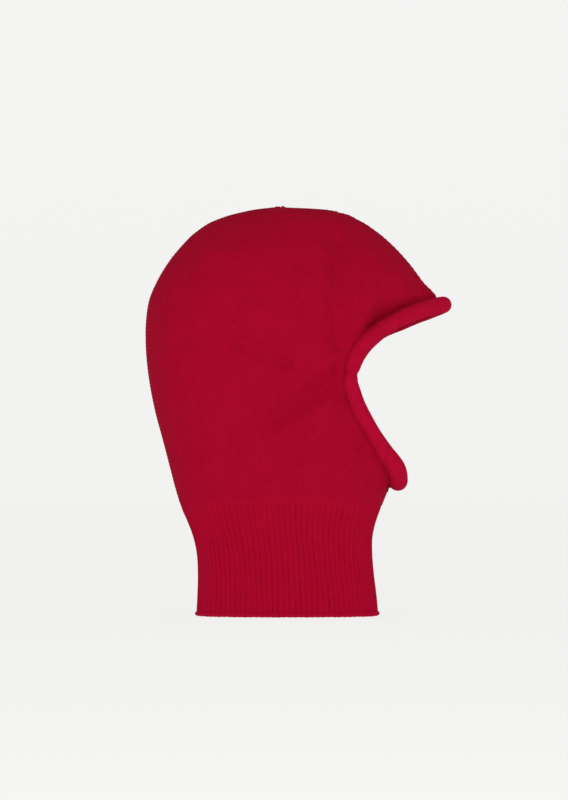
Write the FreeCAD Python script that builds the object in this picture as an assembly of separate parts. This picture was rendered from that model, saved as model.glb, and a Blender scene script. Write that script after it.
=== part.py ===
import FreeCAD, Part

# Knitted balaclava: a hood of two plain jersey sides, a rolled edge round the face, and a
# ribbed neck tube on a bound-off hem.
#
# Frame: millimetres, +X out of the face opening, +Y to the wearer's left, +Z up.
# The origin is the centre of the neck opening, in the plane that the hem stands on.
# The hood has the shape that it takes on a head, so its inside is open.

import math
import os

from FreeCAD import Vector

# --- driving dimensions -------------------------------------------------------------------

JERSEY = 2.4  # wall of the plain jersey hood
RIB_WALL = 3.4  # wall of the ribbed neck tube
HEM_HEIGHT = 4.6  # bound-off edge under the ribs
HEM_PROUD = 1.2  # how far the hem stands out of the rib, on each face
JOIN_HEIGHT = 2.2  # linked join between rib and hood
JOIN_PROUD = 0.6
SEAM_WIDTH = 2.0  # centre seams between the two jersey sides
SEAM_PROUD = 0.4
SEAM_DEPTH = 5.0  # how far a seam's turned-in edges reach inside
RIB_SEAM_WIDTH = 3.0
RIB_SEAM_DEPTH = 1.8
TEMPLE_Z = 231.0  # where the upper and lower rolls meet
TACK_PROUD = 0.4  # binding stitches at each temple, round both rolls
TACK_THICK = 1.6
CHAIN_R = 1.1  # linking chain between a roll and the hood
GAP = 0.35  # between soft pieces that lie against each other
NUB_R = 3.2  # knot where the seams meet on the crown
NUB_HEIGHT = 2.0
LABEL_WIDTH = 28.0
LABEL_LENGTH = 30.0
LABEL_THICK = 0.6
STITCH_COUNT = 6
STITCH_WIDTH = 1.0
STITCH_LENGTH = 3.0
STITCH_THICK = 0.5
BIG = 400.0  # reach of a cutting block, beyond the object

# Horizontal stations of the closed hood and neck, from the hem up: height, back, front,
# widest place, half width, and how square the section is (2 is an ellipse). From chin to
# brim, front is the line that the face opening cuts away.
STATIONS = (
    (0.0, -86.5, 86.3, -2.0, 52.0, 2.5),
    (20.0, -85.4, 84.6, -2.0, 50.5, 2.5),
    (40.0, -85.0, 82.1, -3.0, 49.5, 2.5),
    (60.0, -86.3, 80.4, -4.0, 49.0, 2.5),
    (75.0, -89.5, 80.5, -5.0, 50.0, 2.5),
    (90.0, -95.0, 83.8, -7.0, 53.0, 2.45),
    (105.0, -101.5, 89.5, -10.0, 57.0, 2.4),
    (121.0, -106.5, 95.8, -14.0, 61.5, 2.3),
    (140.0, -111.5, 102.5, -21.0, 66.0, 2.2),
    (165.0, -118.0, 103.5, -30.0, 70.5, 2.1),
    (195.0, -126.0, 103.0, -38.0, 75.0, 2.1),
    (230.0, -132.5, 104.0, -42.0, 78.5, 2.1),
    (260.0, -135.0, 109.0, -42.0, 80.0, 2.1),
    (283.0, -134.5, 124.0, -40.0, 80.0, 2.1),
    (303.0, -131.0, 141.5, -36.0, 78.0, 2.1),
    (318.0, -124.5, 129.2, -31.0, 75.0, 2.1),
    (335.0, -114.5, 116.5, -24.0, 69.0, 2.1),
    (352.0, -101.0, 101.0, -16.0, 59.5, 2.1),
    (366.0, -86.5, 84.8, -9.0, 48.5, 2.1),
    (377.0, -68.0, 67.5, -5.0, 36.5, 2.1),
    (384.0, -45.5, 50.0, -4.0, 25.0, 2.1),
    (387.6, -27.0, 27.0, -4.0, 13.5, 2.1),
)
BRIM_Z = 303.0
CROWN_X = -9.0  # where the front and back seams meet, on top

# The face opening in side view, from the brim's tip to the chin: the middle of the rolled
# edge (x, z), the crease between it and the hood (x, z), and the roll's radius.
FACE_EDGE = (
    (147.9, 296.7, 142.0, 303.0, 7.9),
    (132.2, 291.9, 130.0, 300.5, 7.8),
    (119.4, 286.9, 116.0, 295.6, 7.9),
    (100.1, 278.5, 96.0, 286.5, 7.9),
    (79.6, 265.2, 73.5, 273.0, 8.4),
    (68.6, 253.3, 60.0, 258.5, 8.4),
    (61.9, 239.2, 53.0, 242.0, 7.5),
    (59.2, 226.0, 51.5, 226.0, 7.0),
    (62.3, 210.4, 54.0, 207.5, 7.8),
    (76.6, 180.4, 69.5, 176.5, 7.8),
    (91.2, 157.4, 84.0, 153.0, 8.2),
    (103.0, 140.2, 94.0, 136.0, 9.4),
    (105.2, 128.6, 96.5, 121.4, 9.3),
)
TEMPLE_ROW = 7  # the first row under the temple
# The neck join in side view: lower at the back and front than along the sides.
JOIN_ARC = ((-101.0, 105.0), (-10.0, 112.5), (90.0, 104.5))

SECTION_POINTS = 36
TUBE_POINTS = 12
HOOD_DEGREE = 5
TUBE_DEGREE = 3


# --- the shape of the hood and neck -------------------------------------------------------


def station_at(z):
    """The station values at any height, on smooth curves through the stations."""
    i = max(k for k in range(len(STATIONS) - 1) if STATIONS[k][0] <= z)
    before = STATIONS[max(i - 1, 0)]
    low = STATIONS[i]
    high = STATIONS[i + 1]
    after = STATIONS[min(i + 2, len(STATIONS) - 1)]
    span = high[0] - low[0]
    t = (z - low[0]) / span
    values = []
    for k in range(1, len(low)):
        slope_low = (high[k] - before[k]) / (high[0] - before[0]) * span
        slope_high = (after[k] - low[k]) / (after[0] - low[0]) * span
        values.append(
            (2 * t**3 - 3 * t**2 + 1) * low[k]
            + (t**3 - 2 * t**2 + t) * slope_low
            + (3 * t**2 - 2 * t**3) * high[k]
            + (t**3 - t**2) * slope_high
        )
    return values


def half_width(x, z):
    """The hood's half width at a place in side view, 0 on its outline."""
    back, front, widest, width, power = station_at(z)
    reach = front - widest if x > widest else widest - back
    share = min(abs(x - widest) / reach, 1.0)
    return width * (1 - share**power) ** (1 / power)


def section_wire(row, z, inset):
    """A station's closed outline at height z, drawn in by inset."""
    back, front, widest, width, power = row[1:]
    points = []
    for k in range(SECTION_POINTS):
        angle = 2 * math.pi * k / SECTION_POINTS
        c = math.cos(angle)
        s = math.sin(angle)
        reach = (front - widest if c > 0 else widest - back) - inset
        x = widest + reach * math.copysign(abs(c) ** (2 / power), c)
        y = (width - inset) * math.copysign(abs(s) ** (2 / power), s)
        points.append(Vector(x, y, z))
    return closed_wire(points)


def closed_wire(points):
    """A smooth closed outline through the points, evenly parametrised, so that outlines
    with equally many points make one simple surface between them."""
    curve = Part.BSplineCurve()
    curve.interpolate(
        Points=points,
        PeriodicFlag=True,
        Parameters=list(range(len(points) + 1)),
    )
    return Part.Wire([curve.toShape()])


def crown_share(z):
    """0 up to the brim, rising smoothly to 1 at the crown."""
    t = max((z - BRIM_Z) / (STATIONS[-1][0] - BRIM_Z), 0.0)
    return t * t * (3 - 2 * t)


def filled(inset):
    """The solid inside the hood and neck's outer surface, drawn in by inset all over."""
    wires = []
    for row in STATIONS:
        z = row[0] - inset * crown_share(row[0])
        wires.append(section_wire(row, z, inset))
    return Part.makeLoft(wires, True, False, False, HOOD_DEGREE)


def wall(outside, inside):
    """The layer between two depths under the outer surface."""
    return filled(outside).cut(filled(inside))


# --- cutting blocks -----------------------------------------------------------------------


def block(x=(-BIG, BIG), y=(-BIG, BIG), z=(-BIG, BIG)):
    """A box between the given limits, without limit where none is given."""
    size = (x[1] - x[0], y[1] - y[0], z[1] - z[0])
    return Part.makeBox(*size, Vector(x[0], y[0], z[0]))


def side_block(edges):
    """A closed outline of edges at y = -BIG, as a block right across."""
    return Part.Face(Part.Wire(edges)).extrude(Vector(0, 2 * BIG, 0))


def polyline(points):
    return [Part.makeLine(a, b) for a, b in zip(points, points[1:])]


def under_join(raised=0.0):
    """Everything under the arched neck join, raised by a little if asked."""
    start, middle, end = (Vector(x, -BIG, z + raised) for x, z in JOIN_ARC)
    corners = [
        end,
        Vector(BIG, -BIG, end.z),
        Vector(BIG, -BIG, -BIG),
        Vector(-BIG, -BIG, -BIG),
        Vector(-BIG, -BIG, start.z),
        start,
    ]
    return side_block([Part.Arc(start, middle, end).toShape()] + polyline(corners))


def face_opening():
    """Everything in front of the hood's edge, from the chin to the brim."""
    past_chain = 2 * CHAIN_R + 3 * GAP
    points = []
    for row in FACE_EDGE:
        x, z = towards_hood(row, row[4] + past_chain)
        points.append(Vector(x, -BIG, z))
    edge = Part.BSplineCurve()
    edge.interpolate(Points=points)
    corners = [
        points[-1],
        Vector(BIG, -BIG, points[-1].z),
        Vector(BIG, -BIG, points[0].z),
        points[0],
    ]
    return side_block([edge.toShape()] + polyline(corners))


# --- tubes round the face -----------------------------------------------------------------


def towards_hood(row, distance):
    """A place in side view at a distance from the middle of the roll towards the hood."""
    x, z, crease_x, crease_z, _ = row
    share = distance / math.hypot(crease_x - x, crease_z - z)
    return x + (crease_x - x) * share, z + (crease_z - z) * share


def across_face(rows, beyond_roll=None):
    """The stations of a tube from one side of the face to the other, through the rows on
    the right side and back through their mirror images: a point, the direction towards
    the hood, and the roll's radius. The last row is on the centre plane. beyond_roll is
    left out for the rolled edge itself, and otherwise says how far from the roll's surface
    the middle of a thinner tube lies."""
    stations = []
    for row in rows:
        x, z = towards_hood(row, 0.0 if beyond_roll is None else row[4] + beyond_roll)
        on_centre = row in (FACE_EDGE[0], FACE_EDGE[-1])
        y = 0.0 if on_centre else half_width(row[2], row[3])
        direction = Vector(row[2] - row[0], 0, row[3] - row[1])
        stations.append((Vector(x, -y, z), direction, row[4]))
    for point, direction, radius in stations[-2::-1]:
        stations.append((Vector(point.x, -point.y, point.z), direction, radius))
    return stations


def tube(stations, same_radius=None):
    """A round tube through the stations, of their own radii unless one is given."""
    path = Part.BSplineCurve()
    path.interpolate(Points=[point for point, _, _ in stations])
    wires = []
    for point, direction, radius in stations:
        along = path.tangent(path.parameter(point))[0]
        across = along.cross(direction).normalize()
        outward = across.cross(along)
        ring = []
        for k in range(TUBE_POINTS):
            angle = 2 * math.pi * k / TUBE_POINTS
            offset = outward * math.cos(angle) + across * math.sin(angle)
            ring.append(point + offset * (same_radius or radius))
        wires.append(closed_wire(ring))
    return Part.makeLoft(wires, True, False, False, TUBE_DEGREE)


# --- sub-parts ----------------------------------------------------------------------------


def rows_over_brim():
    """The rows from just under the temple up to the brim's tip."""
    return FACE_EDGE[TEMPLE_ROW::-1]


def rows_under_chin():
    """The rows from just over the temple down to the chin."""
    return FACE_EDGE[TEMPLE_ROW - 1:]


def rolled_edge():
    """The rolled edge in two lengths, and the stitches that bind their ends together."""
    half = TACK_THICK / 2
    brim = tube(across_face(rows_over_brim()))
    chin = tube(across_face(rows_under_chin()))
    proud = FACE_EDGE[TEMPLE_ROW][4] + TACK_PROUD
    tack = tube(across_face(rows_under_chin()), proud)
    tack = tack.common(block(y=(-BIG, 0), z=(TEMPLE_Z - half, TEMPLE_Z + half)))
    return {
        "brim_roll": brim.common(block(z=(TEMPLE_Z + half, BIG))),
        "chin_roll": chin.common(block(z=(-BIG, TEMPLE_Z - half))),
        "temple_tack_right": tack,
        "temple_tack_left": mirrored(tack),
    }


def linking_chain():
    """The chain of stitches between the rolls and the hood, parted at the temples."""
    half = TACK_THICK / 2
    beyond = CHAIN_R + GAP
    brim = tube(across_face(rows_over_brim(), beyond), CHAIN_R)
    chin = tube(across_face(rows_under_chin(), beyond), CHAIN_R)
    return {
        "brim_seam": brim.common(block(z=(TEMPLE_Z + half, BIG))),
        "chin_seam": chin.common(block(z=(-BIG, TEMPLE_Z - half))),
    }


def hood_sides():
    """The two jersey sides, between the neck join, the centre seams and the face opening."""
    jersey = wall(0, JERSEY).cut(under_join(JOIN_HEIGHT)).cut(face_opening())
    half = SEAM_WIDTH / 2
    right = jersey.common(block(y=(-BIG, -half)))
    return {"hood_right": right, "hood_left": mirrored(right)}


def mirrored(shape):
    """The same piece on the other side of the centre plane."""
    return shape.mirror(Vector(0, 0, 0), Vector(0, 1, 0))


def centre_seams():
    """The seams over the crown, down the back and under the chin, and the crown's knot."""
    half = SEAM_WIDTH / 2
    seam = wall(-SEAM_PROUD, SEAM_DEPTH).common(block(y=(-half, half)))
    seam = seam.cut(under_join(JOIN_HEIGHT)).cut(face_opening())
    nub = Part.makeCylinder(NUB_R, NUB_HEIGHT, Vector(CROWN_X, 0, STATIONS[-1][0] + SEAM_PROUD))
    top_edge = max(nub.Edges, key=lambda edge: edge.BoundBox.ZMin)
    return {
        "crown_seam": seam.common(block(x=(CROWN_X, BIG), z=(TEMPLE_Z, BIG))),
        "back_seam": seam.common(block(x=(-BIG, CROWN_X))),
        "throat_seam": seam.common(block(x=(CROWN_X, BIG), z=(-BIG, TEMPLE_Z))),
        "crown_tack": nub.makeFillet(NUB_HEIGHT / 2, [top_edge]),
    }


def neck():
    """The ribbed tube, its inside seam, the join above it and the hem below."""
    tube_height = block(z=(HEM_HEIGHT, BIG)).common(under_join())
    rib_seam = wall(RIB_WALL, RIB_WALL + RIB_SEAM_DEPTH).common(tube_height)
    half = RIB_SEAM_WIDTH / 2
    join = wall(-JOIN_PROUD, RIB_WALL + JOIN_PROUD)
    return {
        "neck_rib": wall(0, RIB_WALL).common(tube_height),
        "neck_back_seam": rib_seam.common(block(x=(-BIG, 0), y=(-half, half))),
        "neck_seam": join.common(under_join(JOIN_HEIGHT)).cut(under_join()),
        "hem_edge": hem_bulge(0.0, -HEM_PROUD).cut(hem_bulge(RIB_WALL, RIB_WALL + HEM_PROUD)),
    }


def hem_bulge(edge_inset, middle_inset):
    """The solid inside one face of the hem, which swells at half its height."""
    profile = ((0.0, edge_inset), (HEM_HEIGHT / 2, middle_inset), (HEM_HEIGHT, edge_inset))
    wires = [section_wire(STATIONS[0], z, inset) for z, inset in profile]
    return Part.makeLoft(wires, True, False, False, HOOD_DEGREE)


def care_label():
    """A blank label that hangs inside the back of the neck, and the stitches that hold it."""
    depth = RIB_WALL + RIB_SEAM_DEPTH + GAP
    top = JOIN_ARC[0][1] - JOIN_HEIGHT
    half = LABEL_WIDTH / 2
    cloth = wall(depth, depth + LABEL_THICK)
    label = cloth.common(block(x=(-BIG, 0), y=(-half, half), z=(top - LABEL_LENGTH, top)))
    thread = wall(depth + LABEL_THICK, depth + LABEL_THICK + STITCH_THICK)
    stitches = []
    for k in range(STITCH_COUNT):
        y = -half + LABEL_WIDTH * (k + 0.5) / STITCH_COUNT
        place = block(
            x=(-BIG, 0),
            y=(y - STITCH_WIDTH / 2, y + STITCH_WIDTH / 2),
            z=(top - 2 * STITCH_LENGTH, top - STITCH_LENGTH),
        )
        stitches.append(thread.common(place))
    return {"care_label": label, "label_stitches": Part.makeCompound(stitches)}


def main():
    os.makedirs("parts", exist_ok=True)
    for make in (rolled_edge, linking_chain, hood_sides, centre_seams, neck, care_label):
        for name, shape in make().items():
            shape.exportStep("parts/" + name + ".step")


main()
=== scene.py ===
# Looks of a knitted balaclava round its CAD frame: jersey hood, rolled edge round the face,
# ribbed neck, yarn seams and a blank label. Shapes are worked out in millimetres in the
# part's frame (+X out of the face opening, +Y to the wearer's left, +Z up), and meshes are
# written in metres.

import math

import bpy
import numpy as np
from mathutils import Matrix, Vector


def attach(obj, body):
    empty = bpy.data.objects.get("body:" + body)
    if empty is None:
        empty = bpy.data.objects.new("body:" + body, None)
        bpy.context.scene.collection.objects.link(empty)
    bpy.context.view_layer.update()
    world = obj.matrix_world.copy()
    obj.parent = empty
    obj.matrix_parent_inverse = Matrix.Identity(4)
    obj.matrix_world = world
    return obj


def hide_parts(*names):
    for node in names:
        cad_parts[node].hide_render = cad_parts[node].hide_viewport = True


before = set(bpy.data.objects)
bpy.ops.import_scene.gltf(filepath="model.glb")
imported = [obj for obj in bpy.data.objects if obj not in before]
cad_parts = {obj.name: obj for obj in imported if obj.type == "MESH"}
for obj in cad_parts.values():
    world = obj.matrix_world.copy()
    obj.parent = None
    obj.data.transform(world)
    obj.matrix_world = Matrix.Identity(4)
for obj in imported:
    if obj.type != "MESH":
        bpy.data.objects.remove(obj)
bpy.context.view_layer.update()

MM = 0.001

# --- the object's shape -------------------------------------------------------------------

# Horizontal stations from the hem up, as in the CAD part: height, back, front, widest place,
# half width, and how square the section is. The last one closes the crown.
STATIONS = np.array(
    (
        (0.0, -86.5, 86.3, -2.0, 52.0, 2.5),
        (20.0, -85.4, 84.6, -2.0, 50.5, 2.5),
        (40.0, -85.0, 82.1, -3.0, 49.5, 2.5),
        (60.0, -86.3, 80.4, -4.0, 49.0, 2.5),
        (75.0, -89.5, 80.5, -5.0, 50.0, 2.5),
        (90.0, -95.0, 83.8, -7.0, 53.0, 2.45),
        (105.0, -101.5, 89.5, -10.0, 57.0, 2.4),
        (121.0, -106.5, 95.8, -14.0, 61.5, 2.3),
        (140.0, -111.5, 102.5, -21.0, 66.0, 2.2),
        (165.0, -118.0, 103.5, -30.0, 70.5, 2.1),
        (195.0, -126.0, 103.0, -38.0, 75.0, 2.1),
        (230.0, -132.5, 104.0, -42.0, 78.5, 2.1),
        (260.0, -135.0, 109.0, -42.0, 80.0, 2.1),
        (283.0, -134.5, 124.0, -40.0, 80.0, 2.1),
        (303.0, -131.0, 141.5, -36.0, 78.0, 2.1),
        (318.0, -124.5, 129.2, -31.0, 75.0, 2.1),
        (335.0, -114.5, 116.5, -24.0, 69.0, 2.1),
        (352.0, -101.0, 101.0, -16.0, 59.5, 2.1),
        (366.0, -86.5, 84.8, -9.0, 48.5, 2.1),
        (377.0, -68.0, 67.5, -5.0, 36.5, 2.1),
        (384.0, -45.5, 50.0, -4.0, 25.0, 2.1),
        (387.6, -27.0, 27.0, -4.0, 13.5, 2.1),
        (389.2, -13.0, -5.0, -9.0, 2.0, 2.1),
    )
)
# The face opening in side view, from the brim's tip to the chin: the roll's middle (x, z),
# the crease (x, z) and the roll's radius. The tips differ a little from the CAD part's.
FACE_EDGE = np.array(
    (
        (148.3, 296.2, 142.2, 302.4, 7.9),
        (132.2, 292.8, 130.0, 301.2, 7.8),
        (119.4, 288.0, 116.0, 296.4, 7.9),
        (100.1, 279.2, 96.0, 287.2, 7.9),
        (79.6, 265.2, 73.5, 273.0, 8.4),
        (68.6, 253.3, 60.0, 258.5, 8.4),
        (61.9, 239.2, 53.0, 242.0, 7.5),
        (59.2, 226.0, 51.5, 226.0, 7.0),
        (62.3, 210.4, 54.0, 207.5, 7.8),
        (76.6, 180.4, 69.5, 176.5, 7.8),
        (91.2, 157.4, 84.0, 153.0, 8.2),
        (103.2, 139.2, 94.2, 135.0, 9.4),
        (105.4, 126.9, 96.3, 120.0, 9.3),
    )
)
TEMPLE_Z = 231.0  # where the brim's roll meets the chin's
ROW_OVER_TEMPLE = 6
# The neck join in side view, and how far over it the hood starts.
JOIN_BACK = (-101.0, 105.0)
JOIN_MIDDLE = (-10.0, 112.5)
JOIN_FRONT = (90.0, 104.5)
JOIN_HEIGHT = 0.9
HEM_HEIGHT = 4.6
# Thickness of the two fabrics.
RIB_WALL = 3.4
JERSEY = 2.2
# The hollow over the brim, and how much deeper it is beside the roll. Each has the distance
# from the hood's edge over which it fades out.
BROW_SINK, BROW_REACH = 9.0, 40.0
BROW_PINCH, PINCH_REACH = 9.5, 17.0
BROW_LINE = (67.0, 267.4, 0.3)  # (x, z) on the hollow's rear edge and its slope, x over z
BROW_FADE = 13.0
BROW_LOW, BROW_RISE = 244.0, 20.0
# The hood's dip beside the rolls, and the distance over which it fades out.
CREASE_SINK, CREASE_REACH = 0.7, 2.2
# Pressed places grow from nothing on the centre plane to their full depth at this half width.
RIM_REACH = 26.0
PANEL_GAP = 0.5  # half the gap between the sides, on the centre plane
# How far the linking chain and the rolls' middle lie under the hood's surface, and how much of
# the hood's hollow the rolls follow.
CHAIN_DEPTH = 1.3
ROLL_DEPTH = 3.6
ROLL_SHARE = 0.3
FINE_ROWS = 400

SLOPES = np.gradient(STATIONS[:, 1:], STATIONS[:, 0], axis=0)


def station_at(z):
    """Back, front, widest place, half width and squareness at any heights."""
    heights = STATIONS[:, 0]
    z = np.clip(z, heights[0], heights[-1])
    i = np.clip(np.searchsorted(heights, z, side="right") - 1, 0, len(heights) - 2)
    span = (heights[i + 1] - heights[i])[..., None]
    t = (z - heights[i])[..., None] / span
    low, high = STATIONS[i, 1:], STATIONS[i + 1, 1:]
    value = (2 * t**3 - 3 * t**2 + 1) * low + (3 * t**2 - 2 * t**3) * high
    value += ((t**3 - 2 * t**2 + t) * SLOPES[i] + (t**3 - t**2) * SLOPES[i + 1]) * span
    return np.moveaxis(value, -1, 0)


def half_width(x, z):
    """The hood's half width at places in side view, 0 on its outline."""
    back, front, widest, width, power = station_at(np.asarray(z, float))
    reach = np.where(x > widest, front - widest, widest - back)
    share = np.minimum(np.abs(x - widest) / reach, 1.0)
    return width * (1 - share**power) ** (1 / power)


def section_at(angle, z):
    """Points of the outer surface (x, y, z) at section angles and heights. Angle 0 is the
    front, 90 degrees the left side."""
    back, front, widest, width, power = station_at(z)
    c, s = np.cos(angle), np.sin(angle)
    reach = np.where(c > 0, front - widest, widest - back)
    x = widest + reach * np.sign(c) * np.abs(c) ** (2 / power)
    y = width * np.sign(s) * np.abs(s) ** (2 / power)
    return np.stack((x, y, z + 0 * x), -1)


def join_height(x):
    """Height of the neck join in side view: an arc through its back, middle and front."""
    (x0, z0), (x1, z1), (x2, z2) = JOIN_BACK, JOIN_MIDDLE, JOIN_FRONT
    a = (x - x1) * (x - x2) / ((x0 - x1) * (x0 - x2)) * z0
    b = (x - x0) * (x - x2) / ((x1 - x0) * (x1 - x2)) * z1
    c = (x - x0) * (x - x1) / ((x2 - x0) * (x2 - x1)) * z2
    return a + b + c


# --- small tools --------------------------------------------------------------------------


def lengths_along(points):
    """Distance along a row of points, from 0."""
    steps = np.linalg.norm(np.diff(points, axis=0), axis=1)
    return np.concatenate(([0.0], np.cumsum(steps)))


def spread_evenly(points, places):
    """Points at shares (0 to 1) of the length of a row of points."""
    along = lengths_along(points)
    columns = [np.interp(np.asarray(places) * along[-1], along, p) for p in points.T]
    return np.stack(columns, -1)


def smooth_line(points, count):
    """A smooth curve through points, as count evenly spaced points."""
    points = np.asarray(points, float)
    knots = lengths_along(points)
    slopes = np.gradient(points, knots, axis=0)
    s = np.linspace(0, knots[-1], 12 * len(points))
    i = np.clip(np.searchsorted(knots, s, side="right") - 1, 0, len(knots) - 2)
    span = (knots[i + 1] - knots[i])[:, None]
    t = (s - knots[i])[:, None] / span
    fine = (2 * t**3 - 3 * t**2 + 1) * points[i] + (3 * t**2 - 2 * t**3) * points[i + 1]
    fine += ((t**3 - 2 * t**2 + t) * slopes[i] + (t**3 - t**2) * slopes[i + 1]) * span
    return spread_evenly(fine, np.linspace(0, 1, count))


def unit(vectors):
    return vectors / np.maximum(np.linalg.norm(vectors, axis=-1, keepdims=True), 1e-9)


def smooth_step(t):
    """0 below 0 and 1 above 1, with a soft rise between."""
    t = np.clip(t, 0, 1)
    return t * t * (3 - 2 * t)


def grid_faces(rows, columns, closed_rows=False, closed_columns=False, first=0):
    """Quads of a grid of vertices numbered row by row from first. closed_columns joins the
    last column to the first, and closed_rows the last row to the first."""
    i = np.arange(rows if closed_rows else rows - 1)[:, None]
    j = np.arange(columns if closed_columns else columns - 1)[None, :]
    below, beside = (i + 1) % rows, (j + 1) % columns
    quads = np.stack(
        (
            i * columns + j,
            i * columns + beside,
            below * columns + beside,
            below * columns + j,
        ),
        -1,
    )
    return (quads + first).reshape(-1, 4)


def make_piece(name, points, faces, uv, material, nodes, second=None):
    """A smooth mesh in metres from points and a UV in millimetres per point. Faces are
    quads or, for end caps, lists. second is another material and the first face with it."""
    mesh = bpy.data.meshes.new(name)
    faces = [list(map(int, face)) for face in faces]
    mesh.from_pydata((np.asarray(points) * MM).tolist(), [], faces)
    layer = mesh.uv_layers.new(name="Knit")
    corner = np.zeros(len(mesh.loops), np.int32)
    mesh.loops.foreach_get("vertex_index", corner)
    layer.data.foreach_set("uv", (np.asarray(uv) * MM)[corner].astype(np.float32).ravel())
    mesh.materials.append(material)
    if second:
        mesh.materials.append(second[0])
        index = (np.arange(len(faces)) >= second[1]).astype(np.int32)
        mesh.polygons.foreach_set("material_index", index)
    mesh.shade_smooth()
    mesh.set_sharp_from_angle(angle=math.radians(62))
    mesh.update()
    piece = bpy.data.objects.new(name, mesh)
    bpy.context.scene.collection.objects.link(piece)
    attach(piece, "root")
    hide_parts(*nodes)
    return piece


def line_frames(line, towards):
    """Along, outward and sideways directions at each point of a line, with outward as near
    to the given directions as the line allows."""
    along = unit(np.gradient(line, axis=0))
    outward = towards - along * np.sum(towards * along, -1, keepdims=True)
    outward = unit(outward)
    return along, outward, np.cross(along, outward)


def sweep(line, towards, profile):
    """Points of a profile moved along a line: profile[i, j] is (outward, sideways) in
    millimetres at line point i, or profile[j] everywhere."""
    _, outward, sideways = line_frames(line, towards)
    profile = np.broadcast_to(profile, (len(line),) + np.shape(profile)[-2:])
    across = profile[..., :1] * outward[:, None] + profile[..., 1:] * sideways[:, None]
    return line[:, None] + across


def yarn_cord(line, towards, strand, twist, pitch, strands=2, sides=8):
    """Points, faces and UV of yarn strands twisted round a line: strand is a strand's
    radius, twist how far it is from the line, and pitch the length of a full turn."""
    along = lengths_along(line)
    angles = np.linspace(0, 2 * math.pi, sides, endpoint=False)
    points, faces, uv = [], [], []
    for k in range(strands):
        turn = 2 * math.pi * (along / pitch + k / strands)
        offset = np.stack((np.cos(turn), np.sin(turn)), -1)[:, None] * twist
        _, outward, sideways = line_frames(line, towards)
        middle = line + offset[:, 0, :1] * outward + offset[:, 0, 1:] * sideways
        ring = np.stack((np.cos(angles), np.sin(angles)), -1) * strand
        tube = sweep(middle, towards, ring)
        first = sum(len(p) for p in points)
        points.append(tube.reshape(-1, 3))
        faces.append(grid_faces(len(line), sides, closed_columns=True, first=first))
        u = np.broadcast_to(angles * strand, (len(line), sides))
        v = np.broadcast_to(along[:, None], (len(line), sides))
        uv.append(np.stack((u, v), -1).reshape(-1, 2))
    caps = end_caps(len(line), sides, strands)
    return np.concatenate(points), list(np.concatenate(faces)) + caps, np.concatenate(uv)


def end_caps(rows, columns, tubes=1):
    """The two end faces of each tube made by a grid with closed columns."""
    caps = []
    for k in range(tubes):
        first = k * rows * columns
        caps.append(list(range(first + columns - 1, first - 1, -1)))
        last = first + (rows - 1) * columns
        caps.append(list(range(last, last + columns)))
    return caps


def fine_face_edge(rows):
    """Rows of FACE_EDGE's kind, on smooth lines through the given ones."""
    return smooth_line(rows, FINE_ROWS)


def brow_weight(x, z):
    """1 in the hollow over the brim, falling to 0 behind its rear edge."""
    edge_x, edge_z, slope = BROW_LINE
    ahead = x - edge_x - (z - edge_z) * slope
    return smooth_step(ahead / BROW_FADE) * smooth_step((z - BROW_LOW) / BROW_RISE)


def sunk_half_width(x, z, near_face, depth=0.0, share=1.0):
    """The half width with a share of the hollow over the brim and of the crease beside the
    rolls pressed in. near_face is the distance from the hood's edge, and depth is added."""
    y = half_width(x, z)
    sink = CREASE_SINK * np.exp(-near_face / CREASE_REACH)
    brow = BROW_SINK * (1 - smooth_step(near_face / BROW_REACH))
    brow += BROW_PINCH * np.exp(-near_face / PINCH_REACH)
    sink += brow * brow_weight(x, z)
    return y - (share * sink + depth) * smooth_step(y / RIM_REACH)


# --- materials ----------------------------------------------------------------------------


class Nodes:
    """A short way to build a material's nodes."""

    def __init__(self, name):
        self.material = bpy.data.materials.new(name)
        self.material.use_nodes = True
        self.tree = self.material.node_tree
        self.shader = self.tree.nodes["Principled BSDF"]

    def add(self, kind, inputs=None, **settings):
        node = self.tree.nodes.new(kind)
        for key, value in settings.items():
            setattr(node, key, value)
        for key, value in (inputs or {}).items():
            self.feed(node.inputs[key], value)
        return node

    def feed(self, socket, value):
        if isinstance(value, bpy.types.NodeSocket):
            self.tree.links.new(value, socket)
        else:
            socket.default_value = value

    def math(self, operation, *values):
        inputs = dict(enumerate(values))
        return self.add("ShaderNodeMath", inputs, operation=operation).outputs[0]

    def noise(self, scale, detail=2.0, where=None):
        inputs = {"Scale": scale, "Detail": detail}
        if where is not None:
            inputs["Vector"] = where
        return self.add("ShaderNodeTexNoise", inputs).outputs["Fac"]

    def blend(self, share, first, second):
        node = self.add("ShaderNodeMix", data_type="RGBA")
        self.feed(node.inputs["Factor"], share)
        self.feed(node.inputs["A"], first)
        self.feed(node.inputs["B"], second)
        return node.outputs["Result"]


def knit_height(n, wale, course, purl):
    """Height of knitted stitches from 0 to 1, over a UV in metres. Plain stitches are
    columns of V, purl ones are rows of bumps."""
    uv = n.add("ShaderNodeUVMap", uv_map="Knit").outputs["UV"]
    wander = n.noise(90.0, 1.0, uv)
    split = n.add("ShaderNodeSeparateXYZ", {"Vector": uv})
    u = n.math("DIVIDE", split.outputs["X"], wale)
    v = n.math("DIVIDE", split.outputs["Y"], course)
    u = n.math("ADD", u, n.math("MULTIPLY", wander, 1.1))
    v = n.math("ADD", v, n.math("MULTIPLY", wander, 0.9))
    across = n.math("ABSOLUTE", n.math("SUBTRACT", n.math("FRACT", u), 0.5))
    lean = n.math("MULTIPLY", across, 0.6 if purl else 1.9)
    row = n.math("FRACT", n.math("ADD", v, lean))
    row = n.math("SINE", n.math("MULTIPLY", row, math.pi))
    leg = n.math("SINE", n.math("MULTIPLY", across, 2 * math.pi))
    leg = n.math("POWER", n.math("MAXIMUM", leg, 0.0), 0.7)
    if purl:
        leg = n.math("SUBTRACT", 1.0, leg)
    leg = n.math("MULTIPLY_ADD", leg, 0.65, 0.35)
    return n.math("MULTIPLY", n.math("POWER", row, 0.6), leg)


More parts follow.
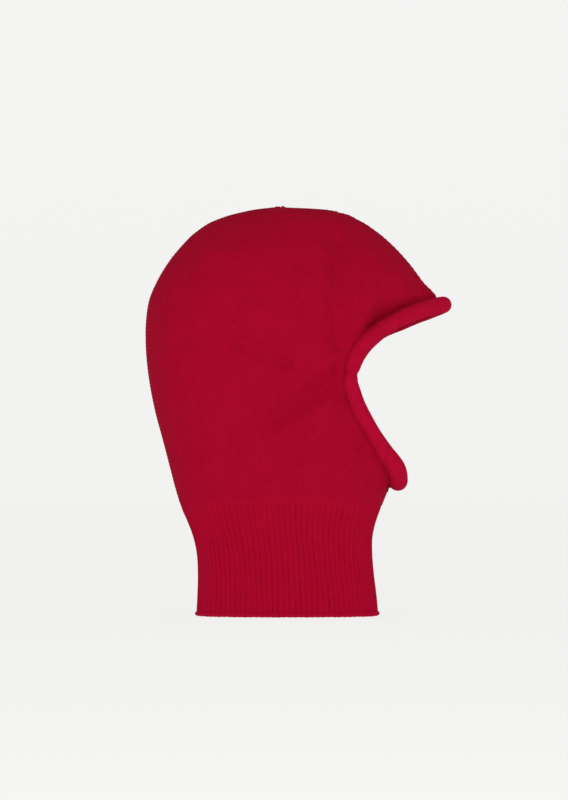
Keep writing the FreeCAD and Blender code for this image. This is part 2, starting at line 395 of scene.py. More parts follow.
def knit_material(name, light, dark, wale, course, relief, purl=False):
    """Matte wool: stitch relief, painted shade in the stitch hollows, soft mottling and a
    little fuzz.
    """
    n = Nodes(name)
    stitch = knit_height(n, wale, course, purl)
    fuzz = n.noise(2600.0, 3.0)
    # The colour follows the stitch height: painted shade darkens the hollows between stitches,
    # and the noises add random mottling.
    share = n.math("MULTIPLY_ADD", stitch, 0.6, 0.2)
    for noise, weight in ((fuzz, 0.5), (n.noise(330.0, 2.0), 2.3), (n.noise(14.0, 2.0), 0.5)):
        uneven = n.math("MULTIPLY", n.math("SUBTRACT", noise, 0.5), weight)
        share = n.math("ADD", share, uneven)
    colour = n.blend(n.add("ShaderNodeClamp", {"Value": share}).outputs[0], dark, light)
    n.feed(n.shader.inputs["Base Color"], colour)
    height = n.math("ADD", n.math("MULTIPLY", stitch, relief), n.math("MULTIPLY", fuzz, 0.0001))
    bump = n.add("ShaderNodeBump", {"Height": height, "Strength": 1.0, "Distance": 1.0})
    n.feed(n.shader.inputs["Normal"], bump.outputs["Normal"])
    set_wool(n.shader)
    return n.material


def set_wool(shader):
    """Dull wool with a faint sheen."""
    shader.inputs["Roughness"].default_value = 0.92
    shader.inputs["Specular IOR Level"].default_value = 0.02
    shader.inputs["Sheen Weight"].default_value = 0.06
    shader.inputs["Sheen Roughness"].default_value = 0.6
    shader.inputs["Sheen Tint"].default_value = (0.9, 0.03, 0.1, 1.0)


def yarn_material(name, light, dark):
    """Plied yarn: fine slanting plies along a UV in metres, with painted shade between them,
    and fuzz.
    """
    n = Nodes(name)
    uv = n.add("ShaderNodeUVMap", uv_map="Knit").outputs["UV"]
    split = n.add("ShaderNodeSeparateXYZ", {"Vector": uv})
    lengthwise = n.math("MULTIPLY", split.outputs["Y"], 1400.0)
    around = n.math("MULTIPLY", split.outputs["X"], 1100.0)
    turns = n.math("MULTIPLY", n.math("ADD", lengthwise, around), 2 * math.pi)
    ply = n.math("MULTIPLY_ADD", n.math("SINE", turns), 0.5, 0.5)
    fuzz = n.noise(3000.0, 3.0)
    # Darker between the plies is painted shade; the fuzz noise varies the tone at random.
    share = n.math("MULTIPLY_ADD", ply, 0.4, n.math("MULTIPLY", fuzz, 0.6))
    n.feed(n.shader.inputs["Base Color"], n.blend(share, dark, light))
    height = n.math("MULTIPLY", n.math("ADD", ply, fuzz), 0.00012)
    bump = n.add("ShaderNodeBump", {"Height": height, "Strength": 1.0, "Distance": 1.0})
    n.feed(n.shader.inputs["Normal"], bump.outputs["Normal"])
    set_wool(n.shader)
    return n.material


def label_material():
    """Off-white woven ribbon with a fine rib across it, with painted shade where the weave
    sinks.
    """
    n = Nodes("label_ribbon")
    uv = n.add("ShaderNodeUVMap", uv_map="Knit").outputs["UV"]
    split = n.add("ShaderNodeSeparateXYZ", {"Vector": uv})
    weft = n.math("SINE", n.math("MULTIPLY", split.outputs["Y"], 2 * math.pi / 0.0005))
    warp = n.math("SINE", n.math("MULTIPLY", split.outputs["X"], 2 * math.pi / 0.0007))
    weave = n.math("MULTIPLY_ADD", n.math("MULTIPLY", weft, warp), 0.5, 0.5)
    # Darker where the weave is low: painted shade in the weave.
    shade = n.blend(weave, (0.72, 0.70, 0.66, 1), (0.86, 0.85, 0.81, 1))
    n.feed(n.shader.inputs["Base Color"], shade)
    height = n.math("MULTIPLY", weave, 0.00008)
    bump = n.add("ShaderNodeBump", {"Height": height, "Strength": 1.0, "Distance": 1.0})
    n.feed(n.shader.inputs["Normal"], bump.outputs["Normal"])
    n.shader.inputs["Roughness"].default_value = 0.5
    n.shader.inputs["Sheen Weight"].default_value = 0.3
    return n.material


RED = (0.44, 0.0026, 0.027, 1)
RED_RIB = (0.42, 0.0024, 0.0255, 1)
RED_SHADE_AND_MOTTLE = (0.29, 0.0012, 0.014, 1)
# The lighter, pinker red below is painted sheen: it colours the rolled edges and the hem
# brighter than the hood, as if they caught the pale surroundings at grazing angles.
RED_PAINTED_SHEEN = (0.53, 0.0042, 0.042, 1)
jersey = knit_material("jersey_face", RED, RED_SHADE_AND_MOTTLE, 0.0021, 0.0016, 0.00035)
jersey_back = knit_material("jersey_back", RED, RED_SHADE_AND_MOTTLE, 0.0021, 0.0016, 0.0003, purl=True)
# The rolled material, used for the rolls and the hem, carries that painted sheen in its lighter
# red.
rolled = knit_material("rolled", RED_PAINTED_SHEEN, RED_SHADE_AND_MOTTLE, 0.0021, 0.0016, 0.0003, purl=True)
rib_face = knit_material("rib_face", RED_RIB, RED_SHADE_AND_MOTTLE, 0.0029, 0.0024, 0.0004)
yarn = yarn_material("linking_yarn", RED, RED_SHADE_AND_MOTTLE)
ribbon = label_material()
thread = yarn_material("label_thread", (0.8, 0.78, 0.72, 1), (0.6, 0.58, 0.54, 1))


# --- the jersey hood ----------------------------------------------------------------------

HOOD_CELLS = 200
TUCK = 3.4  # how far the hood's edge goes in under a roll
EDGE_TURN = 2.2  # the distance over which the hood's edge turns in to the roll
EDGE_LEVEL = 3.0  # and over which it keeps the crease's half width
FOLD_REACH = 9.0  # folds fade out this near the edge
DROOP_REACH = 22.0  # and the far side's droop this far from it
CROWN_CORNER_Z = 343.0
KNIT_ROWS = 240
KNIT_COLUMNS = 120

# Soft folds in side view: where each valley starts and ends, its half width and its depth.
# Ridges have a negative depth.
FOLDS_RIGHT = (
    (48, 356, 48, 260, 9.5, 6.2),
    (67, 350, 65, 280, 9.0, -1.6),
    (50, 227, -9, 188, 10.0, 6.6),
    (41, 206, 2, 178, 12.0, -4.0),
    (-44, 260, 0, 241, 8.0, 4.2),
    (-30, 243, 6, 228, 9.0, -1.2),
    (-65, 345, -16, 347, 15.0, -2.4),
    (2, 374, 14, 374, 13.0, -1.0),
    (-26, 231, -12, 231, 2.2, -0.65),
    (-24, 224, -12, 223, 2.2, -0.65),
    (-26, 216, -10, 216, 2.2, -0.65),
    (-24, 207, -12, 206, 2.2, -0.65),
    (-22, 199, -8, 199, 2.2, -0.65),
    (23, 231, 31, 231, 2.2, -0.65),
    (22, 221, 31, 221, 2.2, -0.65),
    (76, 126, 86, 131, 4.0, 1.3),
    (62, 154, 54, 124, 5.0, -1.6),
    (69, 132, 73, 124, 4.5, -1.4),
)
FOLDS_LEFT = (
    (42, 350, 54, 276, 8.0, 1.6),
    (44, 236, -20, 206, 10.0, 1.7),
    (40, 214, -6, 184, 9.0, -1.0),
    (-60, 320, -30, 344, 14.0, 1.0),
    (-96, 250, -70, 160, 13.0, 0.9),
    (0, 180, 40, 150, 11.0, 1.0),
    (62, 134, 78, 124, 4.0, 1.0),
)


def hood_edge():
    """The hood's edge in side view from the brim to the chin, and how far it goes from the
    crease in under the roll."""
    rows = fine_face_edge(FACE_EDGE)
    middle, crease = rows[:, :2], rows[:, 2:4]
    gap = np.linalg.norm(crease - middle, axis=1) - rows[:, 4]
    under = (gap + TUCK) * smooth_step(half_width(crease[:, 0], crease[:, 1]) / 8)
    under = unit(middle - crease) * under[:, None]
    return crease + under, under


def outline_line(low, high, column):
    """The outline's back (column 0) or front (1) in side view between two heights."""
    z = high - (high - low) * np.cos(np.linspace(0, math.pi / 2, 240))
    return np.stack((station_at(z)[column], z), -1)


def hood_borders():
    """Bottom, front, top and back border of a side in side view, as rows of points."""
    top = STATIONS[-1, 0]
    low_back = join_height(JOIN_BACK[0]) + JOIN_HEIGHT
    low_front = join_height(JOIN_FRONT[0]) + JOIN_HEIGHT
    face = hood_edge()[0][::-1]
    throat = outline_line(low_front, face[0, 1], 1)
    front = np.concatenate((throat[:-1], face))
    over_front = outline_line(front[-1, 1], top, 1)
    over_back = outline_line(CROWN_CORNER_Z, top, 0)[::-1]
    over = np.concatenate(([front[-1]], over_front[1:], over_back))
    back = outline_line(low_back, CROWN_CORNER_Z, 0)
    x = np.linspace(back[0, 0], front[0, 0], 200)
    bottom = np.stack((x, join_height(x) + JOIN_HEIGHT), -1)
    return bottom, front, over[::-1], back


def hood_side_view():
    """A grid over one side in side view, closest together along its borders."""
    bottom, front, over, back = hood_borders()
    s = (1 - np.cos(np.linspace(0, math.pi, HOOD_CELLS + 1))) / 2
    t = np.sin(np.linspace(0, math.pi / 2, HOOD_CELLS + 1))
    low, high = spread_evenly(bottom, s)[None], spread_evenly(over, s)[None]
    left, right = spread_evenly(back, t)[:, None], spread_evenly(front, t)[:, None]
    s, t = s[None, :, None], t[:, None, None]
    ruled = (1 - t) * low + t * high + (1 - s) * left + s * right
    corners = (1 - s) * (1 - t) * low[:, :1] + s * (1 - t) * low[:, -1:]
    corners = corners + (1 - s) * t * high[:, :1] + s * t * high[:, -1:]
    return ruled - corners


def knit_map():
    """Tables of the cloth's own coordinates over section angle and height: distance round
    the section from its widest place, and distance up the cloth."""
    angle = np.linspace(0, math.pi, KNIT_COLUMNS)[None, :]
    z = np.linspace(join_height(0.0) - 12, STATIONS[-1, 0], KNIT_ROWS)[:, None]
    points = section_at(angle + 0 * z, z + 0 * angle)
    round_it = np.linalg.norm(np.diff(points, axis=1), axis=-1)
    round_it = np.concatenate((np.zeros((KNIT_ROWS, 1)), np.cumsum(round_it, 1)), 1)
    round_it -= round_it[:, KNIT_COLUMNS // 2 : KNIT_COLUMNS // 2 + 1]
    up = np.linalg.norm(np.diff(points, axis=0), axis=-1)
    up = np.concatenate((np.zeros((1, KNIT_COLUMNS)), np.cumsum(up, 0)), 0)
    return round_it, up, z[0, 0], z[-1, 0]


def table_value(table, row, column):
    """A table's value between its rows and columns."""
    i = np.clip(row.astype(int), 0, table.shape[0] - 2)
    j = np.clip(column.astype(int), 0, table.shape[1] - 2)
    a, b = row - i, column - j
    low = table[i, j] * (1 - b) + table[i, j + 1] * b
    high = table[i + 1, j] * (1 - b) + table[i + 1, j + 1] * b
    return low * (1 - a) + high * a


def knit_uv(x, z):
    """The cloth's own coordinates in millimetres at places in side view."""
    back, front, widest, _, power = station_at(z)
    reach = np.where(x > widest, front - widest, widest - back)
    share = np.clip((x - widest) / reach, -1, 1)
    angle = np.arccos(np.sign(share) * np.abs(share) ** (power / 2))
    round_it, up, low, high = knit_map()
    row = (z - low) / (high - low) * (KNIT_ROWS - 1)
    column = angle / math.pi * (KNIT_COLUMNS - 1)
    return np.stack((table_value(round_it, row, column), table_value(up, row, column)), -1)


def fold_depth(x, z, folds):
    """How deep the folds press in at places in side view."""
    depth = np.zeros_like(x)
    for x0, z0, x1, z1, width, deep in folds:
        run = np.array((x1 - x0, z1 - z0), float)
        length = np.linalg.norm(run)
        run /= length
        along = np.clip((x - x0) * run[0] + (z - z0) * run[1], 0, length)
        away = np.hypot(x - x0 - along * run[0], z - z0 - along * run[1])
        depth += deep * np.exp(-((away / width) ** 2))
    return depth


def slack(x, z, phase):
    """Gentle unevenness of hanging cloth, in millimetres."""
    a = np.sin(x / 23 + z / 41 + phase) * np.sin(z / 29 - x / 57 + 2 * phase)
    b = np.sin(x / 11 - z / 19 + 3 * phase) * np.sin(z / 13 + x / 31)
    return 0.55 * a + 0.16 * b


def from_face(x, z):
    """Distance in side view from the hood's edge at the face, and the nearest part's way in
    under the roll."""
    away = np.full(x.shape, 1e9)
    under = np.zeros(x.shape + (2,))
    for point, reach in zip(*hood_edge()):
        distance = np.hypot(x - point[0], z - point[1])
        nearer = distance < away
        away[nearer] = distance[nearer]
        under[nearer] = reach
    return away, under


def grid_normals(points):
    """Outward normals of a grid over the right side."""
    normal = np.cross(np.gradient(points, axis=1), np.gradient(points, axis=0))
    return unit(normal)


def hood_surface(x, z, near_face, under):
    """The right side before it creases, with its edge turned in to the rolls."""
    level = under * np.exp(-((near_face / EDGE_LEVEL) ** 2))[..., None]
    place = (x - level[..., 0], z - level[..., 1])
    y = sunk_half_width(*place, near_face)
    turn = np.exp(-((near_face / EDGE_TURN) ** 2))
    y += (sunk_half_width(*place, 0.0, ROLL_DEPTH, ROLL_SHARE) - y) * turn
    return np.stack((x, -np.maximum(y, PANEL_GAP), z), -1)


def far_droop(points, near_face):
    """The far side's edge, hanging with the brim's roll. Points are still on the right."""
    share = np.exp(-near_face / DROOP_REACH)[..., None]
    return points + (droop(points * (1, -1, 1)) * (1, -1, 1) - points) * share


def hood_panel(name, side, folds, phase):
    """One jersey side, knit face out and purl face in. side is -1 for the right."""
    flat = hood_side_view()
    x, z = flat[..., 0], flat[..., 1]
    near_face, under = from_face(x, z)
    points = hood_surface(x, z, near_face, under)
    normal = grid_normals(points)
    normal[:, 0, 1] = 0
    normal[-1, :, 1] = 0
    normal = unit(normal)
    rim = smooth_step(half_width(x, z) / RIM_REACH)
    press = (fold_depth(x, z, folds) + slack(x, z, phase)) * rim
    press *= smooth_step((z - join_height(x) - JOIN_HEIGHT) / 10)
    press *= smooth_step(near_face / FOLD_REACH)
    outside = points - normal * press[..., None]
    thin = 0.8 * smooth_step((x - 126) / 8) * (1 - rim)  # at the brim's tip
    inside = outside - normal * (JERSEY * (1 - thin))[..., None]
    inside[..., 1] = np.minimum(inside[..., 1], -PANEL_GAP)
    if side > 0:
        outside = far_droop(outside, near_face)
        inside = far_droop(inside, near_face)
    outside[..., 1] *= -side
    inside[..., 1] *= -side
    return panel_shell(name, side, outside, inside, knit_uv(x, z))


def panel_shell(name, side, outside, inside, uv):
    """A closed shell from two grids, one inside the other."""
    count = outside.shape[0]
    first = count * count
    face = grid_faces(count, count)
    back = grid_faces(count, count, first=first)[:, ::-1]
    rim = []
    for line in border_loops(count):
        for a, b in zip(line, line[1:]):
            rim.append((b, a, a + first, b + first))
    faces = np.concatenate((face, np.array(rim), back))
    if side > 0:
        faces = faces[:, ::-1]
    points = np.concatenate((outside.reshape(-1, 3), inside.reshape(-1, 3)))
    uv = np.concatenate((uv.reshape(-1, 2),) * 2)
    second = (jersey_back, len(face) + len(rim))
    return make_piece(name, points, faces, uv, jersey, [name], second)


def border_loops(count):
    """Vertex numbers along the four borders of a square grid, in one turning sense."""
    last = count - 1
    bottom = list(range(count))
    right = [i * count + last for i in range(count)]
    top = [last * count + j for j in range(last, -1, -1)]
    left = [i * count for i in range(last, -1, -1)]
    return bottom, right, top, left


# --- the rolled edge round the face -------------------------------------------------------

ROLL_TURNS = 1.4
ROLL_LAYER = 2.1
ROLL_GAP = 0.15  # between two layers
ROLL_DIP = 1.7  # the angle over which a layer dips under the next, in radians
ROLL_POINTS = 52
FAR_DROOP = 3.4  # the left side of the brim hangs a little lower than the right


def face_line(rows, spacing, depth, share, beyond=None):
    """A tube's evenly spaced line from the right temple to the left one, the direction from
    the roll to the hood, and the roll's radius. The last row is on the centre plane. depth
    is how far the line lies under the hood's surface, share how much of the hood's sinking
    it follows, and beyond how far outside the roll's surface it runs, or None for the
    roll's own middle."""
    fine = fine_face_edge(rows)
    middle, crease, radii = fine[:, :2], fine[:, 2:4], fine[:, 4]
    towards = unit(crease - middle)
    if beyond is not None:
        middle = middle + towards * (radii + beyond)[:, None]
    y = np.maximum(sunk_half_width(*crease.T, 0.0, depth, share), 0)
    y[-1] = 0
    right = np.stack((middle[:, 0], -y, middle[:, 1]), -1)
    points = np.concatenate((right, right[-2::-1] * (1, -1, 1)))
    towards = np.stack((towards[:, 0], 0 * y, towards[:, 1]), -1)
    towards = np.concatenate((towards, towards[-2::-1]))
    radii = np.concatenate((radii, radii[-2::-1]))
    along = lengths_along(points)
    share = np.linspace(0, 1, int(along[-1] / spacing))
    places = share * along[-1]
    towards = np.stack([np.interp(places, along, t) for t in towards.T], -1)
    return spread_evenly(points, share), unit(towards), np.interp(places, along, radii)


def temple_row():
    """A row of FACE_EDGE's values at the temple."""
    over, under = FACE_EDGE[ROW_OVER_TEMPLE : ROW_OVER_TEMPLE + 2]
    share = (TEMPLE_Z - over[1]) / (under[1] - over[1])
    return over * (1 - share) + under * share


def brim_rows():
    return np.concatenate(([temple_row()], FACE_EDGE[ROW_OVER_TEMPLE::-1]))


def chin_rows():
    return np.concatenate(([temple_row()], FACE_EDGE[ROW_OVER_TEMPLE + 1 :]))


def droop(points):
    """The left side of the brim hangs lower, most of all towards its tip."""
    side = smooth_step(points[..., 1] / 24)
    share = smooth_step((points[..., 0] - 88) / 26) * smooth_step((points[..., 2] - 236) / 24)
    drooped = points.copy()
    drooped[..., 2] -= FAR_DROOP * side * share
    return drooped


def roll_piece(name, rows, phase, hand):
    """A jersey edge curled on itself: a scroll swept from temple to temple, drawn in at its
    ends. hand turns the scroll so that its loose edge is inside."""
    line, towards, radii = face_line(rows, 1.25, ROLL_DEPTH, ROLL_SHARE)
    along = lengths_along(line)
    ends = np.minimum(along, along[-1] - along)
    radii = radii * (1 - 0.2 * np.exp(-((ends / 3.2) ** 2)))
    radii = radii * (1 + 0.02 * np.sin(along / 17 + phase) + 0.012 * np.sin(along / 6.1))
    turn = np.linspace(0, 2 * math.pi * ROLL_TURNS, ROLL_POINTS)
    start = math.radians(-35) + math.radians(9) * np.sin(along / 38 + phase)
    angle = start[:, None] + turn
    wound = turn - 2 * math.pi
    layers = smooth_step(wound / ROLL_DIP + 1) + np.maximum(wound, 0) / (2 * math.pi)
    outer = radii[:, None] - (ROLL_LAYER + ROLL_GAP) * layers
    layer = np.stack((np.cos(angle), np.sin(angle)), -1)
    profile = np.concatenate(
        (layer * outer[..., None], (layer * (outer - ROLL_LAYER)[..., None])[:, ::-1]), 1
    )
    points = droop(sweep(line, towards, profile * (1, hand)))
    rows_count, columns = points.shape[:2]
    faces = list(grid_faces(rows_count, columns, closed_columns=True))
    faces += scroll_caps(rows_count, columns)
    faces = [face[::hand] for face in faces]
    across = np.concatenate((turn, turn[::-1])) * radii.mean()
    uv = np.stack(np.broadcast_arrays(along[:, None], across[None, :]), -1)
    points, uv = points.reshape(-1, 3), uv.reshape(-1, 2)
    return make_piece(name, points, faces, uv, rolled, [name])


def scroll_caps(rows, columns):
    """The two ends of a scroll, as a strip of quads between its outer and inner lines."""
    caps = []
    for first, flip in ((0, False), ((rows - 1) * columns, True)):
        for j in range(columns // 2 - 1):
            quad = [j, columns - 1 - j, columns - 2 - j, j + 1]
            quad = [first + k for k in quad]
            caps.append(quad[::-1] if flip else quad)
    return caps


def crease_chain(name, rows):
    """The linking chain beside a roll, as twisted yarn."""
    line, towards, _ = face_line(rows, 0.7, CHAIN_DEPTH, 1.0, beyond=0.0)
    line = droop(line)
    points, faces, uv = yarn_cord(line, towards, strand=0.33, twist=0.24, pitch=4.6)
    return make_piece(name, points, faces, uv, yarn, [name])


def temple_tack(name, side):
    """Yarn wound round the meeting ends of the two rolls."""
    x, z, crease_x, crease_z, radius = temple_row()
    y = float(sunk_half_width(crease_x, crease_z, 0.0, ROLL_DEPTH, ROLL_SHARE))
    angle = np.linspace(0, 2 * math.pi * 2.05, 130)
    reach = radius * 0.75
    rise = 0.4 * np.sin(angle / 2)
    line = np.stack((x + reach * np.cos(angle), side * y + reach * np.sin(angle), z + rise), -1)
    towards = np.stack((np.cos(angle), np.sin(angle), 0 * angle), -1)
    points, faces, uv = yarn_cord(line, towards, strand=0.34, twist=0.22, pitch=2.6, sides=6)
    return make_piece(name, points, faces, uv, yarn, [name])


# --- centre seams -------------------------------------------------------------------------

CROWN_X = -9.0
CHIN_SEAM_TOP = 124.5


def centre_line(heights, column, depth):
    """A line in the centre plane along the outline, depth inside it, and outward directions.
    Its ends run in under the cloth."""
    z = np.asarray(heights, float)
    line = np.stack((station_at(z)[column], z), -1)
    tangent = unit(np.gradient(line, axis=0))
    inward = np.stack((-tangent[:, 1], tangent[:, 0]), -1)
    inward *= 1 if column == 1 else -1
    share = np.linspace(0, 1, len(z))
    depth = depth + 1.6 * (np.exp(-share / 0.012) + np.exp((share - 1) / 0.004))
    line = line + inward * depth[:, None]
    outward = -np.stack((inward[:, 0], 0 * z, inward[:, 1]), -1)
    return np.stack((line[:, 0], 0 * z, line[:, 1]), -1), outward


def seam_cord(name, low, column, depth, strand, twist, pitch):
    """A yarn seam from a height up to the crown, front or back."""
    top = STATIONS[-1, 0]
    heights = top - (top - low) * np.cos(np.linspace(0, math.pi / 2, 400))
    line, outward = centre_line(heights, column, depth)
    count = int(lengths_along(line)[-1] / 0.7)
    places = np.linspace(0, 1, count)
    along = lengths_along(line) / lengths_along(line)[-1]
    outward = np.stack([np.interp(places, along, o) for o in outward.T], -1)
    line = spread_evenly(line, places)
    points, faces, uv = yarn_cord(line, outward, strand, twist, pitch)
    return make_piece(name, points, faces, uv, yarn, [name])


def throat_seam():
    """The short seam under the chin, from the neck join to inside the roll."""
    heights = np.linspace(JOIN_FRONT[1], CHIN_SEAM_TOP, 44)
    line, outward = centre_line(heights, 1, 0.6)
    points, faces, uv = yarn_cord(line, outward, 0.7, 0.5, 6.0)
    return make_piece("throat_seam", points, faces, uv, yarn, ["throat_seam"])


def crown_knot():
    """A small flat knot of yarn on the crown, where the seams end."""
    t = np.linspace(0, 2 * math.pi, 90)
    line = np.stack(
        (
            CROWN_X + 1.0 * np.sin(t) + 1.5 * np.sin(2 * t),
            1.0 * np.cos(t) - 1.5 * np.cos(2 * t),
            STATIONS[-1, 0] - 0.3 - 0.45 * np.sin(3 * t),
        ),
        -1,
    )
    towards = np.tile((0.0, 0.0, 1.0), (len(t), 1))
    points, faces, uv = yarn_cord(line, towards, 0.75, 0.0, 5.0, strands=1)
    return make_piece("crown_tack", points, faces, uv, yarn, ["crown_tack"])


# --- the ribbed neck ----------------------------------------------------------------------

RIBS = 86
RIB_POINTS = 12
RIB_ROWS = 60
RIB_RELIEF = 1.35
RING_LEVELS = 60
RIB_TOP_LEVEL = 50  # the ring levels whose outline gives the rib's top and the join's seam
SEAM_LEVEL = 54


def ring_table(columns):
    """Points of the outer surface on levels up the neck, evenly spaced round each level
    from the back."""
    angles = np.linspace(-math.pi, math.pi, 1440)
    levels = np.linspace(0, 120, RING_LEVELS)
    rings = []
    for z in levels:
        ring = section_at(angles, np.full(angles.shape, z))
        rings.append(spread_evenly(ring, np.arange(columns) / columns))
    return levels, np.array(rings)


def neck_points(levels, rings, z):
    """Points at heights z[row, column] on the columns of a ring table."""
    place = np.clip(z / levels[1], 0, RING_LEVELS - 1.001)
    i = place.astype(int)
    share = (place - i)[..., None]
    column = np.arange(rings.shape[1])[None, :]
    return rings[i, column] * (1 - share) + rings[i + 1, column] * share


def ring_outward(points):
    """Level outward directions of rings of points."""
    along = np.roll(points, -1, axis=1) - np.roll(points, 1, axis=1)
    return unit(np.stack((along[..., 1], -along[..., 0], 0 * along[..., 0]), -1))


def rib_wave(columns, z):
    """Ridge height of the ribs from 0 to 1 over columns and heights, with ribs that waver
    and differ a little."""
    place = np.arange(columns)[None, :] / columns
    waver = 0.10 * np.sin(z / 23 + place * 31) + 0.06 * np.sin(z / 9.5 + place * 83)
    phase = place * RIBS + waver
    ridge = np.abs(np.sin(math.pi * phase)) ** 0.75
    own = 1 + 0.16 * np.sin(place * RIBS * 2.4) + 0.1 * np.sin(z / 17 + place * 57)
    return ridge * own


def neck_rib():
    """The ribbed tube: ribs outside and, half a rib on, inside."""
    columns = RIBS * RIB_POINTS
    levels, rings = ring_table(columns)
    top = join_height(rings[RIB_TOP_LEVEL, :, 0])
    share = np.linspace(0, 1, RIB_ROWS)[:, None]
    z = HEM_HEIGHT - 1.2 + share * (top - HEM_HEIGHT + 2.6)[None, :]
    base = neck_points(levels, rings, z)
    outward = ring_outward(base)
    fade = smooth_step((1 - share) * 12) * 0.8 + 0.2
    ridge = 0.8 + (rib_wave(columns, z) - 0.8) * fade
    outside = base + outward * ((ridge - 0.9) * RIB_RELIEF)[..., None]
    inner = base[::2, ::2] - outward[::2, ::2] * RIB_WALL
    behind = rib_wave(columns, z + 40)[::2, ::2]
    inside = inner + outward[::2, ::2] * (behind * 0.8)[..., None]
    return rib_shell(outside, inside, z, columns)


def rib_shell(outside, inside, z, columns):
    """A closed tube from a fine outer grid and an inner one with half its columns."""
    rows, inner_rows, half = RIB_ROWS, inside.shape[0], columns // 2
    first = rows * columns
    face = grid_faces(rows, columns, closed_columns=True)
    back = grid_faces(inner_rows, half, closed_columns=True, first=first)[:, ::-1]
    rim = []
    for k in range(half):
        a, b, c = 2 * k, 2 * k + 1, (2 * k + 2) % columns
        p, q = first + k, first + (k + 1) % half
        rim += [[a, p, b], [b, p, q], [b, q, c]]
        shift, inner_shift = (rows - 1) * columns, (inner_rows - 1) * half
        a, b, c = a + shift, b + shift, c + shift
        p, q = p + inner_shift, q + inner_shift
        rim += [[b, p, a], [q, p, b], [c, q, b]]
    faces = list(face) + rim + list(back)
    around = np.arange(columns)[None, :] / columns * RIBS * 2.9 + 0 * z
    uv = np.stack((around, z), -1)
    inner_uv = uv[::2, ::2] + (1.45, 0)
    points = np.concatenate((outside.reshape(-1, 3), inside.reshape(-1, 3)))
    uv = np.concatenate((uv.reshape(-1, 2), inner_uv.reshape(-1, 2)))
    return make_piece("neck_rib", points, faces, uv, rib_face, ["neck_rib"])


def closed_ring(name, depth, height, radial, upright, wave, slot, follow_join=False):
    """A yarn-like ring round the neck, scalloped with the ribs and a little lumpy. Its
    middle is depth inside the outer surface, at a height over the floor or over the join,
    and radial and upright are its half thicknesses."""
    columns, sides = RIBS * 8, 14
    levels, rings = ring_table(columns)
    z = np.full((1, columns), height)
    if follow_join:
        z = z + join_height(rings[SEAM_LEVEL, :, 0])[None, :]
    base = neck_points(levels, rings, z)
    outward = ring_outward(base)[0]
    middle = base[0] - outward * depth
    place = 2 * math.pi * np.arange(columns)[:, None] / columns
    scallop = np.cos(place * RIBS) + np.sin(place * 23) * np.sin(place * 9 + 1)
    angles = np.linspace(0, 2 * math.pi, sides, endpoint=False)[None, :]
    out = radial * (1 + wave * scallop) * np.cos(angles)
    rise = upright * (1 + 0.6 * wave * scallop) * np.sin(angles)
    points = middle[:, None] + out[..., None] * outward[:, None]
    points[..., 2] += rise
    faces = grid_faces(columns, sides, closed_rows=True, closed_columns=True)
    length = lengths_along(middle)
    u = length[:, None] + 0 * angles
    uv = np.stack((u, angles * radial + 0 * u), -1)
    # Rings other than the linking seam take the rolled material, whose lighter red is painted
    # sheen.
    material = yarn if slot == "linking_yarn" else rolled
    points, uv = points.reshape(-1, 3), uv.reshape(-1, 2)
    return make_piece(name, points, faces, uv, material, [name])


def back_wall(depth, y, z):
    """Points inside the back of the neck, depth under the outer surface."""
    y, z = np.broadcast_arrays(y, z)
    back, _, widest, width, power = station_at(z)
    share = np.minimum(np.abs(y) / (width - depth), 1)
    x = widest - (widest - back - depth) * (1 - share**power) ** (1 / power)
    return np.stack((x, y, z), -1)


def neck_back_seam():
    """The rib tube's own closing seam, a zigzag of yarn inside the back."""
    z = np.linspace(6, 102, 500)
    y = 0.9 * np.sin(z * 2 * math.pi / 3.4)
    line = back_wall(RIB_WALL + 0.5, y, z)
    towards = np.tile((1.0, 0.0, 0.0), (len(z), 1))
    points, faces, uv = yarn_cord(line, towards, 0.6, 0.0, 5.0, strands=1)
    return make_piece("neck_back_seam", points, faces, uv, yarn, ["neck_back_seam"])


# --- the care label -----------------------------------------------------------------------

LABEL_HALF = 13.5
LABEL_TOP = 102.5
LABEL_LENGTH = 29.0
LABEL_DEPTH = RIB_WALL + 2.4
LABEL_THICKNESS = 0.25


def care_label():
    """A blank ribbon, folded double, hanging inside the back of the neck."""
    y = np.linspace(-LABEL_HALF, LABEL_HALF, 40)[None, :]
    fold = np.linspace(-1, 1, 61)[:, None]
    down = LABEL_LENGTH * (1 - np.abs(fold))
    belly = 0.35 * np.sin(np.abs(fold) * math.pi / 2) * np.sign(fold)
    curl = 0.5 * np.sin(y / 5.5 + down / 9)
    depth = LABEL_DEPTH + belly + 0.5 + 0.4 * curl * smooth_step(down / 14)
    points = back_wall(depth, y + 0 * fold, LABEL_TOP - down)
    faces = grid_faces(61, 40)
    uv = np.stack(np.broadcast_arrays(y, fold * LABEL_LENGTH), -1)
    points, uv = points.reshape(-1, 3), uv.reshape(-1, 2)
    label = make_piece("care_label", points, faces, uv, ribbon, ["care_label"])
    thicken(label, LABEL_THICKNESS * MM)
    return label


def thicken(piece, thickness):
    """A thickness in metres, half of it on each side."""
    solid = piece.modifiers.new("Thickness", "SOLIDIFY")
    solid.thickness = thickness
    solid.offset = 0


def label_stitches():
    """Short stitches along the label's top edge."""
    points, faces, uv = [], [], []
    z = np.linspace(LABEL_TOP - 3.2, LABEL_TOP - 1.0, 9)
    bulge = 0.3 * np.sin(np.linspace(0, math.pi, len(z)))
    towards = np.tile((1.0, 0.0, 0.0), (len(z), 1))
    for y in np.linspace(-11.5, 11.5, 12):
        line = back_wall(LABEL_DEPTH + 1.2 + bulge, y + (z - z[0]) * 0.3, z)
        stitch, sides, stitch_uv = yarn_cord(line, towards, 0.22, 0.0, 2.0, strands=1, sides=6)
        first = sum(len(q) for q in points)
        faces += [[int(k) + first for k in face] for face in sides]
        points.append(stitch)
        uv.append(stitch_uv)
    points, uv = np.concatenate(points), np.concatenate(uv)
    nodes = ["label_stitches"]
    return make_piece("label_stitches", points, faces, uv, thread, nodes)


# --- the object ---------------------------------------------------------------------------


